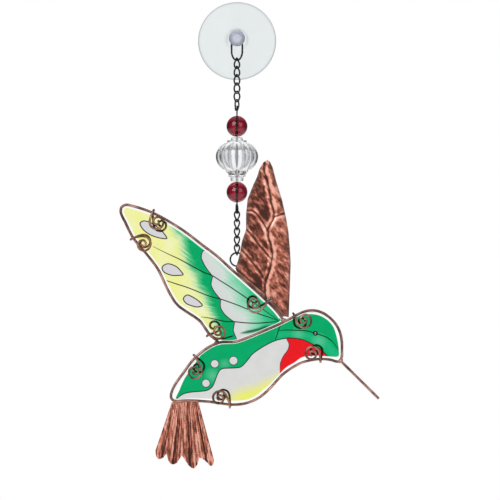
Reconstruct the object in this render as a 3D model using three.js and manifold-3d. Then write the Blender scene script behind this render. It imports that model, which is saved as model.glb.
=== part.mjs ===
// A hummingbird suncatcher for a window: a clear suction cup, a wire loop, a short chain, three
// glass beads on an eye pin, a second chain and a bird of painted glass in wire frames.
//
// Millimetres, +Z up. The origin is the centre of the cup's flat back, which is pressed against
// the pane; +Y runs into the window and -Y towards the room. Everything hangs in one plane,
// hangDepth in front of the pane, from the cup's neck down.
import * as THREE from 'three';
import { mergeVertices } from 'three/addons/utils/BufferGeometryUtils.js';
import Module from 'manifold-3d';

const wasm = await Module();
wasm.setup();

// Suction cup
const cupDiameter = 45;
const cupRim = 1.2;            // thickness of the skirt's edge
const skirtDepth = 4.6;        // from the pane to where the skirt meets the hub
const hubDiameter = 12;
const hubTaper = 1.4;          // the hub is this much thinner at the neck
const neckDiameter = 4.4;
const neckLength = 5;
const headDiameter = 9.2;
const headDepth = 3.8;

// Loop that hangs on the cup's neck
const loopWire = 1.1;
const loopPlay = 0.3;          // between the neck and the wire
const loopLength = 16.3;       // outside, top to bottom

// Chains: curb links, twisted a quarter turn from end to end so that the chain lies flat
const linkCount = 5;           // in each chain
const linkWire = 0.95;
const linkWidth = 4.15;        // outside, before the twist
const linkPitch = 4.75;
const linkTwist = Math.PI / 2;
const linkPlay = 0.2;          // between two wires that hang on each other
const upperChainTurn = [30, 0].map(THREE.MathUtils.degToRad);      // first link, last link
const lowerChainTurn = [-40, -40].map(THREE.MathUtils.degToRad);

// Eye pin and beads
const pinWire = 0.9;
const pinNeck = 2.6;           // bare pin between the upper eye and the first bead
const upperEyeLength = 7.5;    // outside
const lowerEyeLength = 6.25;
const eyeWidth = 3.8;
const upperEyeTurn = THREE.MathUtils.degToRad(45);
const lowerEyeTurn = THREE.MathUtils.degToRad(70);
const beadDiameter = 12;
const beadBore = 1.6;
const beadGap = 0.3;           // between neighbours on the pin
const crystalHeight = 25;
const crystalDiameter = 24.2;
const crystalRibs = 14;
const ribDepth = 0.8;
const paneGap = 0.6;           // between the widest bead and the pane

// Bird
const ringDiameter = 8.6;      // outside
const ringWire = 1;
const birdWidth = 147.5;       // wing tip to beak tip, between the wires' centres
const frameWire = 1.6;
const solderGap = 0.15;        // between pieces that are soldered side by side
const seamGap = 0.3;           // between a wire's soldered end and the wire that it stands on
const beakWire = 1.6;
const glassThickness = 3;
const glassGap = 0.3;          // between the glass and the wire round it
const clipWire = 1.3;
const clipGap = 0.3;           // between a clip and the glass or the frame wire
const clipEye = 0.85;          // inner end of a clip's spiral, from the spiral's centre
const sheetThickness = 0.5;
const featherRise = 0.45;      // the rear wing's feathers stand this far out of the sheet
const grooveWidth = 0.9;
const featherEdge = 0.7;       // width of the slope round a feather
const fluteDepth = 0.5;
const tailFlutes = 9;

// Places that follow from the sizes: the hub holds the neck out so that the beads clear the pane.
const hangDepth = crystalDiameter / 2 + paneGap;
const hubDepth = hangDepth - neckLength / 2;
const loopTop = neckDiameter / 2 + loopPlay + loopWire;
const loopBottom = loopTop - loopLength + loopWire / 2;      // centre of the wire
const linkLength = linkPitch + linkWire + linkPlay;          // between the wire's centres
const upperChainTop = loopBottom + (loopWire + linkWire) / 2 + linkPlay;
const upperChainBottom = upperChainTop - linkLength - (linkCount - 1) * linkPitch;
const upperEyeTop = upperChainBottom + (linkWire + pinWire) / 2 + linkPlay;
const upperEyeBottom = upperEyeTop - upperEyeLength + pinWire;
const upperBeadTop = upperEyeBottom - pinNeck;
const crystalTop = upperBeadTop - beadDiameter - beadGap;
const lowerBeadTop = crystalTop - crystalHeight - beadGap;
const lowerEyeTop = lowerBeadTop - beadDiameter - beadGap - pinWire / 2;
const lowerEyeBottom = lowerEyeTop - lowerEyeLength + pinWire;
const lowerChainTop = lowerEyeBottom + (linkWire + pinWire) / 2 + linkPlay;
const lowerChainBottom = lowerChainTop - linkLength - (linkCount - 1) * linkPitch;
const ringTop = lowerChainBottom + (linkWire + ringWire) / 2 + linkPlay;
const ringRadius = (ringDiameter - ringWire) / 2;
const ringCentre = ringTop - ringRadius;

// The bird's drawing: [x, z] from the ring's centre, in millimetres at the drawn width
const drawnWidth = 147.5;
const wingTop = [
  [27.2, -35.4], [25.3, -32.8], [21.8, -28.4], [13, -19.9], [4.8, -12.6], [-3.4, -5.4],
  [-11.5, 2], [-19.7, 8.2], [-27.8, 14.5], [-36, 20], [-48.2, 26.7], [-59.8, 30.6],
  [-63.6, 31.2], [-66, 29.7], [-66.3, 26.5], [-63.9, 21.4], [-59.3, 12.3], [-52.2, 3.7],
  [-45.2, -5.5], [-40.8, -14.7], [-36, -23.5], [-32.4, -27.4], [-24.4, -32.7], [-20.7, -35.7],
  [-15.8, -42.7], [-12.6, -45.4], [-9.6, -47.4],
];
const seam = [[-8.8, -47.3], [-1.3, -47.1], [3.4, -45.7], [12, -42.2], [17.7, -39.8], [23.2, -37.4]];
const bodyRest = [
  [31, -33.5], [34.9, -31.3], [39.2, -29.6], [42.6, -29.1], [46.5, -29.6], [50.7, -31.5],
  [55.4, -35.6], [58.4, -40.5], [59.8, -46], [60, -52], [59.7, -56.4], [57.8, -58.4],
  [53.7, -57.4], [47.7, -56.9], [41.3, -57.8], [35.8, -59.5], [26.4, -65.5], [19.3, -73.2],
  [12.6, -79], [4.6, -82.3], [-4, -82.9], [-15, -81.4], [-27.9, -80.6], [-35.6, -80.8],
  [-37.5, -79.3], [-37.4, -76], [-34.9, -70.8], [-30.3, -64.4], [-25.7, -58.1], [-21.1, -53.7],
  [-15, -49.5],
];
const beakCorner = [59.3, -57.6];      // where the body's wire turns under the head
const beakTip = [81, -79.5];
const rearLeft = [
  [17.3, 56.8], [15.1, 55.5], [12.8, 51.6], [11.4, 47], [8.9, 41.7], [6.1, 34.4], [5.2, 26],
  [5.2, 17.3], [2.8, 10.2], [2, 5.4], [0.8, 0], [-0.3, -3.5], [-0.9, -5.2],
];
const rearRight = [
  [29.6, -33], [30.1, -22], [30.5, -10], [30.7, -2], [30.2, 6.3], [29.4, 16], [28, 24],
  [25.7, 34.2], [22.4, 44.7], [20.4, 52.5], [18.9, 55.8],
];
// Grooves of the rear wing run from its left edge to the quill, and one to its right edge
const quill = [
  [15.6, 54.4], [15.8, 49.8], [17.5, 44.4], [19.4, 34], [21.2, 24.3], [17.7, 16.5], [20, 5.6],
  [20, -0.3], [18.2, -8], [16.6, -12.2], [16.2, -19.4],
];
const leftGrooves = [
  [[5.4, 28], [10.7, 26.7], [17.7, 16.5]], [[5.3, 17.3], [12.4, 8.7], [20, -0.3]],
  [[2.6, 5.4], [8.3, -0.9], [16.6, -12.2]], [[-0.6, -5.2], [7.6, -12.2], [16.2, -19.4]],
];
const rightGroove = [[21.2, 24.3], [27.5, 26.3]];
const tailTop = [[-37.2, -80.8], [-22, -80.8]];      // on the body frame's lower wire
const tailLeft = [-9.4, 27.7];     // the tail's left edge at its bottom, from its top
const tailRight = [8.9, 33.1];
const tailFeathers = [0, 0.19, 0.436, 0.743, 1];     // where one feather ends, across the tail
const tipDrop = [4.5, 6.3, 6.7, 3.6];
const tipPlace = [0.33, 0.42, 0.66, 0.8];            // where the tip is, across its feather
// A clip: middle of the front spiral, of the rear one, its radius, the winding, its frame crossing
const wingClips = [
  { front: [-45.5, 21.4], back: [-43.6, 20], radius: 5, wind: -1, over: [-46.6, 26] },
  { front: [-53.5, 8.7], back: [-53.4, 9.9], radius: 5.2, wind: 1, over: [-59, 12] },
  { front: [-10.5, -41.3], back: [-13.4, -38.3], radius: 4.6, wind: -1, over: [-15.2, -43.5] },
  { front: [10.2, -25.9], back: [9.6, -23.8], radius: 5, wind: 1, over: [16.7, -23.5] },
];
const bodyClips = [
  { front: [-24.1, -64.1], back: [-22.5, -61.5], radius: 4.8, wind: 1, over: [-24.3, -56.8] },
  { front: [-10, -79.1], back: [-8.2, -78.2], radius: 4.8, wind: -1, over: [-5.4, -82.9] },
  { front: [38.6, -34.7], back: [36.6, -35.6], radius: 5, wind: -1, over: [33.2, -32.3] },
  { front: [42.8, -53.9], back: [45, -52.6], radius: 4.9, wind: -1, over: [47.9, -56.9] },
];

const scale = birdWidth / drawnWidth;
const drawn = ([x, z]) => new THREE.Vector2(x * scale, z * scale);
const smooth = (points, steps, closed = false) => {
  const path = points.map((p) => new THREE.Vector3(p.x, 0, p.y));
  const curve = new THREE.CatmullRomCurve3(path, closed);
  const spans = closed ? points.length : points.length - 1;
  const run = curve.getPoints(spans * steps).map((p) => new THREE.Vector2(p.x, p.z));
  return closed ? run.slice(0, -1) : run;
};
const upright = (points, y = 0) => points.map((p) => new THREE.Vector3(p.x, y, p.y));

// A path with one corner at each point, which a tube follows corner by corner
class Corners extends THREE.Curve {
  constructor(points, closed) {
    super();
    this.points = points;
    this.closed = closed;
  }

  getPoint(t, target = new THREE.Vector3()) {
    const count = this.points.length;
    const place = t * (this.closed ? count : count - 1);
    const index = Math.min(Math.floor(place), this.closed ? count : count - 2);
    const from = this.points[index % count];
    return target.lerpVectors(from, this.points[(index + 1) % count], place - index);
  }

  getPointAt(t, target) {
    return this.getPoint(t, target);
  }

  getTangentAt(t, target) {
    return this.getTangent(t, target);
  }
}

const section = (diameter, sides) => {
  const corner = (i) => new THREE.Vector2(Math.cos(i), Math.sin(i)).multiplyScalar(diameter / 2);
  return new THREE.Shape(Array.from({ length: sides }, (_, i) => corner((2 * Math.PI * i) / sides)));
};

// A round wire through the points, with a cut end at each side unless it is closed
const wire = (points, diameter, closed = false, sides = 5) => {
  const path = new Corners(points, closed);
  if (closed) return new THREE.TubeGeometry(path, points.length, diameter / 2, sides, true);
  const steps = points.length - 1;
  return new THREE.ExtrudeGeometry(section(diameter, sides), {
    steps, extrudePath: path, bevelEnabled: false,
  });
};

// A flat plate in the XZ plane from its outline, centred on y
const plate = (outline, thickness, y = 0) => {
  const flat = new THREE.ExtrudeGeometry(new THREE.Shape(outline), { depth: thickness, bevelEnabled: false });
  return flat.rotateX(Math.PI / 2).translate(0, y + thickness / 2, 0);
};

const toSegment = (p, a, b) => {
  const edge = b.clone().sub(a);
  const t = THREE.MathUtils.clamp(p.clone().sub(a).dot(edge) / edge.lengthSq(), 0, 1);
  return p.distanceTo(a.clone().addScaledVector(edge, t));
};

// Which point of the line is the nearest one
const nearest = (line, p) => line.reduce(
  (best, q, i) => (q.distanceTo(p) < line[best].distanceTo(p) ? i : best), 0);

const toOutline = (p, outline) => Math.min(
  ...outline.map((a, i) => toSegment(p, a, outline[(i + 1) % outline.length])),
);

// Unit vector that points out of the outline at one of its corners
const outward = (outline, i) => {
  const count = outline.length;
  const edge = outline[(i + 1) % count].clone().sub(outline[(i + count - 1) % count]);
  const turn = THREE.ShapeUtils.area(outline) > 0 ? 1 : -1;
  return new THREE.Vector2(edge.y, -edge.x).multiplyScalar(turn).normalize();
};

// The outline moved inwards; corners that would cross over another edge are left out
const inset = (outline, distance) => outline
  .map((p, i) => p.clone().addScaledVector(outward(outline, i), -distance))
  .filter((p) => toOutline(p, outline) > distance * 0.97);

const solid = (geometry) => {
  const bare = new THREE.BufferGeometry();
  bare.setAttribute('position', geometry.getAttribute('position'));
  bare.setIndex(geometry.getIndex());
  const merged = mergeVertices(bare, 1e-4);
  return new wasm.Manifold(new wasm.Mesh({
    numProp: 3,
    vertProperties: new Float32Array(merged.getAttribute('position').array),
    triVerts: new Uint32Array(merged.getIndex().array),
  }));
};

const geometryOf = (manifold) => {
  const mesh = manifold.getMesh();
  const geometry = new THREE.BufferGeometry();
  geometry.setAttribute('position', new THREE.BufferAttribute(new Float32Array(mesh.vertProperties), 3));
  geometry.setIndex(new THREE.BufferAttribute(new Uint32Array(mesh.triVerts), 1));
  return geometry;
};

const finish = (color, roughness, metalness) => () => (
  new THREE.MeshStandardMaterial({ color, roughness, metalness }));
const clearVinyl = finish(0xdde6e6, 0.2, 0);
const gunmetal = finish(0x333536, 0.4, 0.9);
const redGlass = finish(0x8c0f1c, 0.08, 0);
const clearGlass = finish(0xdfe4e6, 0.05, 0);
const greenGlass = finish(0x00b06e, 0.15, 0);
const copperWire = finish(0x966e64, 0.4, 0.9);
const copperSheet = finish(0xb46e5a, 0.5, 0.8);

const suncatcher = new THREE.Group();
const bird = new THREE.Group();
bird.position.set(0, -hangDepth, ringCentre);
suncatcher.add(bird);

const add = (parent, name, geometry, material) => {
  const mesh = new THREE.Mesh(geometry, material());
  mesh.name = name;
  parent.add(mesh);
  return mesh;
};

// Suction cup, turned about Y: a thin skirt that thickens to the hub, then the neck and the head
const skirt = (share) => new THREE.Vector2(
  THREE.MathUtils.lerp(cupDiameter, hubDiameter, share) / 2,
  -THREE.MathUtils.lerp(cupRim, skirtDepth, share ** 2),
);
const headFront = hubDepth + neckLength + headDepth;
const cupProfile = [
  new THREE.Vector2(0, 0),
  new THREE.Vector2(cupDiameter / 2, 0),
  ...[0, 0.35, 0.7, 1].map(skirt),
  new THREE.Vector2((hubDiameter - hubTaper) / 2, -hubDepth),
  new THREE.Vector2(neckDiameter / 2, -hubDepth),
  new THREE.Vector2(neckDiameter / 2, -hubDepth - neckLength),
  new THREE.Vector2(headDiameter / 2, -hubDepth - neckLength),
  new THREE.Vector2(headDiameter / 2, -headFront + headDepth * 0.4),
  new THREE.Vector2(headDiameter * 0.36, -headFront),
  new THREE.Vector2(0, -headFront),
];
add(suncatcher, 'suction_cup', new THREE.LatheGeometry(cupProfile.reverse(), 32), clearVinyl);

// Loop: round over the neck, straight legs, a narrower round at the bottom
const loopHalf = (neckDiameter + loopWire) / 2 + loopPlay;
const loopDip = 5 / 3 * loopHalf;
const arc = (from, to, steps) => (
  Array.from({ length: steps + 1 }, (_, i) => from + ((to - from) * i) / steps));
const loopPoints = [
  ...arc(0, Math.PI, 8).map((a) => [loopHalf * Math.cos(a), loopHalf * Math.sin(a)]),
  ...arc(Math.PI, 2 * Math.PI, 10).map((a) => [
    loopHalf * Math.cos(a), loopBottom + loopDip + loopDip * Math.sin(a)]),
].map(([x, z]) => new THREE.Vector3(x, -hangDepth, z));
add(suncatcher, 'hanging_loop', wire(loopPoints, loopWire, true), gunmetal);

// One link, with its middle at the origin: an oval whose two ends are turned against each other
const linkPoints = arc(0, 2 * Math.PI, 14).slice(0, -1).map((a) => {
  const half = (linkWidth - linkWire) / 2;
  const across = half * Math.sign(Math.cos(a)) * Math.abs(Math.cos(a)) ** 0.8;
  const turn = (linkTwist / 2) * Math.sign(Math.sin(a)) * Math.abs(Math.sin(a)) ** 0.7;
  const up = (linkLength / 2) * Math.sin(a);
  return new THREE.Vector3(across * Math.cos(turn), across * Math.sin(turn), up);
});
const addChain = (name, top, turn) => {
  for (let i = 0; i < linkCount; i += 1) {
    const link = add(suncatcher, `${name}_${i + 1}`, wire(linkPoints, linkWire, true), gunmetal);
    link.position.set(0, -hangDepth, top - linkLength / 2 - i * linkPitch);
    link.rotation.z = THREE.MathUtils.lerp(...turn, linkCount > 1 ? i / (linkCount - 1) : 0);
  }
};
addChain('upper_chain_link', upperChainTop, upperChainTurn);
addChain('lower_chain_link', lowerChainTop, lowerChainTurn);

// Eye pin: each eye is bent out of the wire, its end lying beside the stem
const eye = (length, turn) => [
  [-(pinWire + solderGap), 0.04], [-0.9, 0.36], [-1, 0.66], [-0.7, 0.92], [0, 1], [0.7, 0.92],
  [1, 0.66], [0.9, 0.4], [0.3, 0.08],
].map(([share, up], i) => {
  const across = i === 0 ? share : (share * (eyeWidth - pinWire)) / 2;
  return new THREE.Vector3(across * Math.cos(turn), across * Math.sin(turn), up * length);
});
const shift = (points, z) => points.map((p) => new THREE.Vector3(p.x, p.y - hangDepth, p.z + z));
const upperEye = shift(eye(upperEyeLength - pinWire, upperEyeTurn), upperEyeBottom);
const lowerEye = shift(eye(pinWire - lowerEyeLength, lowerEyeTurn), lowerEyeTop);
const stem = shift([new THREE.Vector3(0, 0, 0)], upperEyeBottom - pinWire)
  .concat(shift([new THREE.Vector3(0, 0, 0)], lowerEyeTop + pinWire / 2));
add(suncatcher, 'bead_pin', wire([...upperEye, ...stem, ...lowerEye.reverse()], pinWire), gunmetal);

// Beads, turned about Z round their bore
const turned = (profile, segments) => {
  const ring = new THREE.LatheGeometry([...profile, profile[0]], segments);
  return ring.rotateX(Math.PI / 2);
};
const boreShare = Math.acos(beadBore / beadDiameter);
const beadProfile = arc(-boreShare, boreShare, 8)
  .map((a) => new THREE.Vector2(Math.cos(a), Math.sin(a)).multiplyScalar(beadDiameter / 2));
const addBead = (name, top) => {
  const bead = add(suncatcher, name, turned(beadProfile, 14), redGlass);
  bead.position.set(0, -hangDepth, top - beadDiameter / 2);
};
addBead('red_bead_upper', upperBeadTop);
addBead('red_bead_lower', lowerBeadTop);

// Crystal bead: [share of the radius, share of the height], the ribbed rows marked
const crystalRows = [
  [0.27, 0], [0.33, 0.09], [0.4, 0.115], [0.4, 0.14], [0.52, 0.15], [0.57, 0.24],
  [0.8, 0.28, 1], [0.95, 0.4, 1], [1, 0.54, 1], [0.93, 0.7, 1], [0.72, 0.82, 1],
  [0.4, 0.89], [0.4, 0.925], [0.25, 0.93], [0.25, 1],
];
const crystalProfile = [
  new THREE.Vector2(beadBore / 2, 0),
  ...crystalRows.map(([r, h]) => new THREE.Vector2((r * crystalDiameter) / 2, h * crystalHeight)),
  new THREE.Vector2(beadBore / 2, crystalHeight),
];
const crystal = turned(crystalProfile, crystalRibs * 2);
const rows = crystalProfile.length + 1;
const corners = crystal.getAttribute('position');
for (let i = 0; i < corners.count; i += 1) {
  const row = crystalRows[(i % rows) - 1];
  if (row?.[2] && Math.floor(i / rows) % 2 === 1) {
    const keep = 1 - (2 * ribDepth) / (row[0] * crystalDiameter);
    corners.setXY(i, corners.getX(i) * keep, corners.getY(i) * keep);
  }
}
const crystalBead = add(suncatcher, 'crystal_bead', crystal, clearGlass);
crystalBead.position.set(0, -hangDepth, crystalTop - crystalHeight);

// Ring behind the rear wing's corner
const ringPoints = arc(0, 2 * Math.PI, 16).slice(0, -1)
  .map((a) => new THREE.Vector3(ringRadius * Math.cos(a), 0, ringRadius * Math.sin(a)));
add(bird, 'hanging_ring', wire(ringPoints, ringWire, true), gunmetal);

// Frames: the wing's wire is open and its ends stand on the body's wire, which both panels share
const bodyOutline = smooth([...seam, ...bodyRest].map(drawn), 2, true);
const wingRun = smooth(wingTop.map(drawn), 2);
const wingOutline = [...wingRun, ...smooth(seam.map(drawn), 2)];
const wingLine = wingRun.filter((p) => toOutline(p, bodyOutline) > frameWire * 1.5);
const standing = (foot, next, reach) => next.clone().sub(foot).setLength(reach + seamGap).add(foot);
const wingEnds = [[wingRun[0], wingLine[0]], [wingRun.at(-1), wingLine.at(-1)]]
  .map(([foot, next]) => standing(foot, next, frameWire * 0.85));
const wingPath = [wingEnds[0], ...wingLine, wingEnds[1]];
add(bird, 'wing_frame', wire(upright(wingPath), frameWire), copperWire);
add(bird, 'body_frame', wire(upright(bodyOutline), frameWire, true), copperWire);

// Beak: a straight wire that stands on the corner of the body's wire
const corner = bodyOutline[nearest(bodyOutline, drawn(beakCorner))];
const tip = drawn(beakTip);
const root = standing(corner, tip, frameWire / 2);
add(bird, 'beak', wire(upright([root, tip]), beakWire), copperWire);

// Glass panels, just inside the wires
const glassOf = (outline) => plate(inset(outline, frameWire / 2 + glassGap), glassThickness);
add(bird, 'wing_glass', glassOf(wingOutline), greenGlass);
add(bird, 'body_glass', glassOf(bodyOutline), greenGlass);

// A clip: a spiral in front of the glass, a bend round the frame wire, a spiral behind the glass
const spiral = (centre, radius, turns, wind, towards, y) => {
  const start = clipEye;
  const end = radius - clipWire / 2;
  const line = towards.clone().sub(centre);
  const leave = line.angle() - wind * Math.acos(Math.min(1, end / line.length()));
  const steps = Math.round(turns * 8);
  return arc(0, 1, steps).map((s) => {
    const a = leave - wind * (1 - s) * turns * 2 * Math.PI;
    const r = THREE.MathUtils.lerp(start, end, THREE.MathUtils.smoothstep(s, 0, 1));
    return new THREE.Vector3(centre.x + r * Math.cos(a), y, centre.y + r * Math.sin(a));
  });
};
const clipPoints = ({ front, back, radius, wind, over }, outline) => {
  const reach = glassThickness / 2 + clipGap + clipWire / 2;
  const wanted = drawn(over);
  const near = nearest(outline, wanted);
  const crossing = outline[near];
  const out = outward(outline, near);
  const past = (frameWire + clipWire) / 2 + clipGap;
  const bend = arc(-Math.PI / 2, Math.PI / 2, 4).map((a) => new THREE.Vector3(
    crossing.x + out.x * past * Math.cos(a), reach * Math.sin(a), crossing.y + out.y * past * Math.cos(a)));
  const behind = spiral(drawn(back), radius * 0.95, 1.25, wind, crossing, reach).reverse();
  return [...spiral(drawn(front), radius, 1.75, wind, crossing, -reach), ...bend, ...behind];
};
const addClips = (name, clips, outline) => clips.forEach((clip, i) => {
  add(bird, `${name}_${i + 1}`, wire(clipPoints(clip, outline), clipWire), copperWire);
});
addClips('wing_clip', wingClips, wingOutline);
addClips('body_clip', bodyClips, bodyOutline);

// Rear wing: a sheet in front of the ring, its lower edge against the wing frame's upper wire,
// with a raised feather in each field between the grooves
const sheetPlane = -(ringWire + sheetThickness) / 2 - solderGap;
const besideFrame = (from, to) => {
  const offset = frameWire / 2 + solderGap;
  return wingOutline
    .map((p, i) => p.clone().addScaledVector(outward(wingOutline, i), offset))
    .slice(0, 16)
    .filter((p) => p.x > from && p.x < to);
};
const lowerEdge = besideFrame(drawn([-0.6, 0]).x, drawn([26.2, 0]).x).reverse();
const rearOutline = [...smooth(rearLeft.map(drawn), 1), ...lowerEdge, ...smooth(rearRight.map(drawn), 1)];
const between = (line, from, to) => {
  const [a, b] = [nearest(line, from), nearest(line, to)];
  return a <= b ? line.slice(a + 1, b) : line.slice(b + 1, a).reverse();
};
const quillLine = quill.map(drawn);
const leftEdge = rearLeft.map(drawn);
const rightEdge = [...rearRight.map(drawn).reverse(), ...lowerEdge.slice(3).reverse()];
// The field between two grooves, from the quill to an edge; each groove runs from edge to quill
const fieldOf = (line, above, below) => [
  ...[...above].reverse(), ...between(line, above[0], below[0]), ...below,
  ...between(quillLine, below.at(-1), above.at(-1)),
];
const fieldsAlong = (line, grooves) => grooves.slice(1).map((below, i) => fieldOf(line, grooves[i], below));
const fields = [
  ...fieldsAlong(leftEdge, [[leftEdge[1], quillLine[0]], ...leftGrooves.map((line) => line.map(drawn))]),
  ...fieldsAlong(rightEdge, [
    [rightEdge[0], quillLine[0]], rightGroove.map(drawn).reverse(), [rightEdge.at(-1), quillLine.at(-1)]]),
];
const feather = (field) => {
  const shape = new THREE.Shape(inset(field, grooveWidth / 2 + featherEdge));
  const raised = new THREE.ExtrudeGeometry(shape, {
    depth: 0.01, bevelThickness: featherRise, bevelSize: featherEdge, bevelSegments: 1,
  });
  return raised.rotateX(Math.PI / 2).translate(0, sheetPlane - sheetThickness / 2, 0);
};
// The clip that crosses the upper wire bends back through a notch in the sheet's lower edge
const notch = wire(clipPoints(wingClips[3], wingOutline), clipWire + 2 * clipGap);
let rearWing = solid(plate(rearOutline, sheetThickness, sheetPlane));
fields.forEach((field) => {
  rearWing = rearWing.add(solid(feather(field)));
});
add(bird, 'rear_wing', geometryOf(rearWing.subtract(solid(notch))), copperSheet);

// Tail: a fluted sheet that hangs from the body's lower wire, its end cut into feather tips
const tailTipAt = (u) => {
  const i = Math.min(tailFeathers.findLastIndex((end) => end <= u), tailFeathers.length - 2);
  const share = (u - tailFeathers[i]) / (tailFeathers[i + 1] - tailFeathers[i]);
  const skewed = share ** (Math.log(0.5) / Math.log(tipPlace[i]));
  return tipDrop[i] * Math.sin(Math.PI * skewed) ** 0.7;
};
const tailPoint = (u, v, side) => {
  const [topLeft, topRight] = tailTop.map(drawn);
  const top = topLeft.clone().lerp(topRight, u);
  top.y -= frameWire / 2 + solderGap;
  const spread = THREE.MathUtils.lerp(tailLeft[0], tailRight[0], u) * scale;
  const drop = THREE.MathUtils.lerp(tailLeft[1], tailRight[1], u) * scale + tailTipAt(u) * scale;
  const y = fluteDepth / 2 * Math.cos(2 * Math.PI * tailFlutes * u) + side * sheetThickness / 2;
  return new THREE.Vector3(top.x + spread * v, y, top.y - drop * v);
};
const across = tailFlutes * 4;
const down = 3;
const tailCorners = [];
const tailFaces = [];
for (const side of [-1, 1]) {
  for (let j = 0; j <= down; j += 1) {
    for (let i = 0; i <= across; i += 1) tailCorners.push(...tailPoint(i / across, j / down, side).toArray());
  }
}
const back = (across + 1) * (down + 1);
const at = (i, j) => j * (across + 1) + i;
const quad = (a, b, c, d) => tailFaces.push(a, b, c, a, c, d);
for (let j = 0; j < down; j += 1) {
  for (let i = 0; i < across; i += 1) {
    quad(at(i, j), at(i, j + 1), at(i + 1, j + 1), at(i + 1, j));
    quad(back + at(i, j), back + at(i + 1, j), back + at(i + 1, j + 1), back + at(i, j + 1));
  }
  quad(at(0, j), back + at(0, j), back + at(0, j + 1), at(0, j + 1));
  quad(at(across, j), at(across, j + 1), back + at(across, j + 1), back + at(across, j));
}
for (let i = 0; i < across; i += 1) {
  quad(at(i, 0), at(i + 1, 0), back + at(i + 1, 0), back + at(i, 0));
  quad(at(i, down), back + at(i, down), back + at(i + 1, down), at(i + 1, down));
}
const tail = new THREE.BufferGeometry();
tail.setAttribute('position', new THREE.Float32BufferAttribute(tailCorners, 3));
tail.setIndex(tailFaces);
add(bird, 'tail', tail, copperSheet);

export default suncatcher;
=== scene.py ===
# Looks of a hummingbird suncatcher: clear suction cup, dark chain, glass beads, and a bird of
# painted glass in copper wire with an embossed copper rear wing and tail.
import math

import bmesh
import bpy
import numpy as np
from mathutils import Matrix, Vector, noise


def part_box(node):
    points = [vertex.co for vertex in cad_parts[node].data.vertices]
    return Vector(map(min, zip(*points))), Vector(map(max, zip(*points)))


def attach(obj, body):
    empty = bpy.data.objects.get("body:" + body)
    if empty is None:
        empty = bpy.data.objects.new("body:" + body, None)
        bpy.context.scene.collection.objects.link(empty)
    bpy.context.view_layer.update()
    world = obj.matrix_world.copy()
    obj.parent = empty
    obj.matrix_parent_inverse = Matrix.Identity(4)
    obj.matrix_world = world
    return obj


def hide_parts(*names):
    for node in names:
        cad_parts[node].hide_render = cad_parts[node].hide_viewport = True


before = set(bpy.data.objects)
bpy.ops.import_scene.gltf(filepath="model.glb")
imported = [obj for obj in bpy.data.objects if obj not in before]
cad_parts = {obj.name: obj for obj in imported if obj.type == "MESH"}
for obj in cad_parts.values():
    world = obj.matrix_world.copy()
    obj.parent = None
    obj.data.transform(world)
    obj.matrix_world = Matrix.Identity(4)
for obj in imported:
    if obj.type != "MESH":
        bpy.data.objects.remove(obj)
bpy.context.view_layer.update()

MM = 0.001

# Wires, as the frame has them, in millimetres
LOOP_WIRE = 1.1
LINK_WIRE = 0.95
LINKS = 5
PIN_WIRE = 0.9
RING_WIRE = 1
FRAME_WIRE = 1.6
BEAK_WIRE = 1.6
CLIP_WIRE = 1.3
CLIPS = 4
WIRE_SIDES = 5

# Camera: level with the ornament's middle, far enough for the photograph's flat perspective
CAMERA_PLACE = Vector((7.45, -1212.7, -120.6)) * MM
CAMERA_LENS = 151.2

# The bird is drawn from the middle of the ring that it hangs on: x to the right, z up, millimetres
ring_low, ring_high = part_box("hanging_ring")
BIRD = (ring_low + ring_high) / 2

# Paint on the wing
WING_ROOT = (23.7, -35.1)
WING_MARGIN = 0.6
SEAM_MARGIN = 0.1
SEAM = [(-9.5, -47.3), (-1.3, -47.1), (3.4, -45.7), (12, -42.2), (17.7, -39.8), (25, -36.6)]
VEIN_WIDTH = 0.56
OUTLINE_WIDTH = 0.48
TEARDROPS = [
    [(-55.3, 20), (-54.6, 21.5), (-52.5, 22), (-48.5, 20.6), (-44, 17.3), (-41.2, 14.2),
     (-40.1, 12), (-42.5, 12), (-45.5, 12.6), (-49.7, 14.2), (-53.3, 16.8)],
    [(-42.8, -5), (-41.6, -3.2), (-38.9, -2.5), (-34.6, -4.1), (-31.8, -7), (-30.8, -8.7),
     (-33.5, -9.1), (-37.4, -9), (-41.4, -7.4)],
    [(-30.6, -22.8), (-29.6, -20.9), (-27.6, -20.4), (-23.1, -22.8), (-20.6, -25),
     (-19.8, -26.3), (-21.5, -27), (-23.9, -27), (-28.5, -25.4)],
]
VEINS = [
    [(-47.9, 7.4), (-40.1, 3.5), (-32.6, 0), (-26.5, -3.4), (-19.7, -7), (-14.2, -9.2),
     (-8.8, -12.6), (-3.4, -16), (6.2, -22.5), (15, -28.6), (23.5, -34.7)],
    [(-43, -11.2), (-40.8, -11.9), (-34.6, -14), (-27.8, -16.2), (-15.6, -21), (-9.5, -22.6),
     (0.7, -26.2), (12.3, -31), (18.4, -33), (23.8, -35.1)],
    [(-20.4, -32.8), (-15.6, -33.5), (-6.8, -35.4), (-2, -35.5), (4.8, -36.2), (11.6, -36.4),
     (18.4, -35.9), (23.8, -35.4)],
]
FRINGE = [(-8.5, -45.4), (-6.4, -44.9), (-2, -43.6)]
# Painted shade: a dark green stroke just above the seam, for the shadow behind the glass showing
# through
PAINTED_SEAM_SHADOW = [(2.1, -42.2), (11.6, -40.2), (18.4, -37.8)]
PAINTED_SEAM_SHADOW_WIDTH = 1.5
SCALLOPS = [
    [(-18.2, 5.2), (-19.6, 4.6), (-20.4, 1.3), (-19.3, -1.7), (-17.6, -4.8), (-13.9, -9.6)],
    [(-13.9, -9.6), (-14.8, -14), (-13.9, -16.7), (-12.2, -19.4), (-9.3, -22.8)],
    [(-9.3, -22.8), (-9.5, -26.6), (-8.5, -29.3), (-6.1, -32.3), (-1.3, -35.9)],
    [(-1.3, -35.9), (-2.1, -40.2), (-1.3, -42.9), (-0.2, -45.5)],
]
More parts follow.
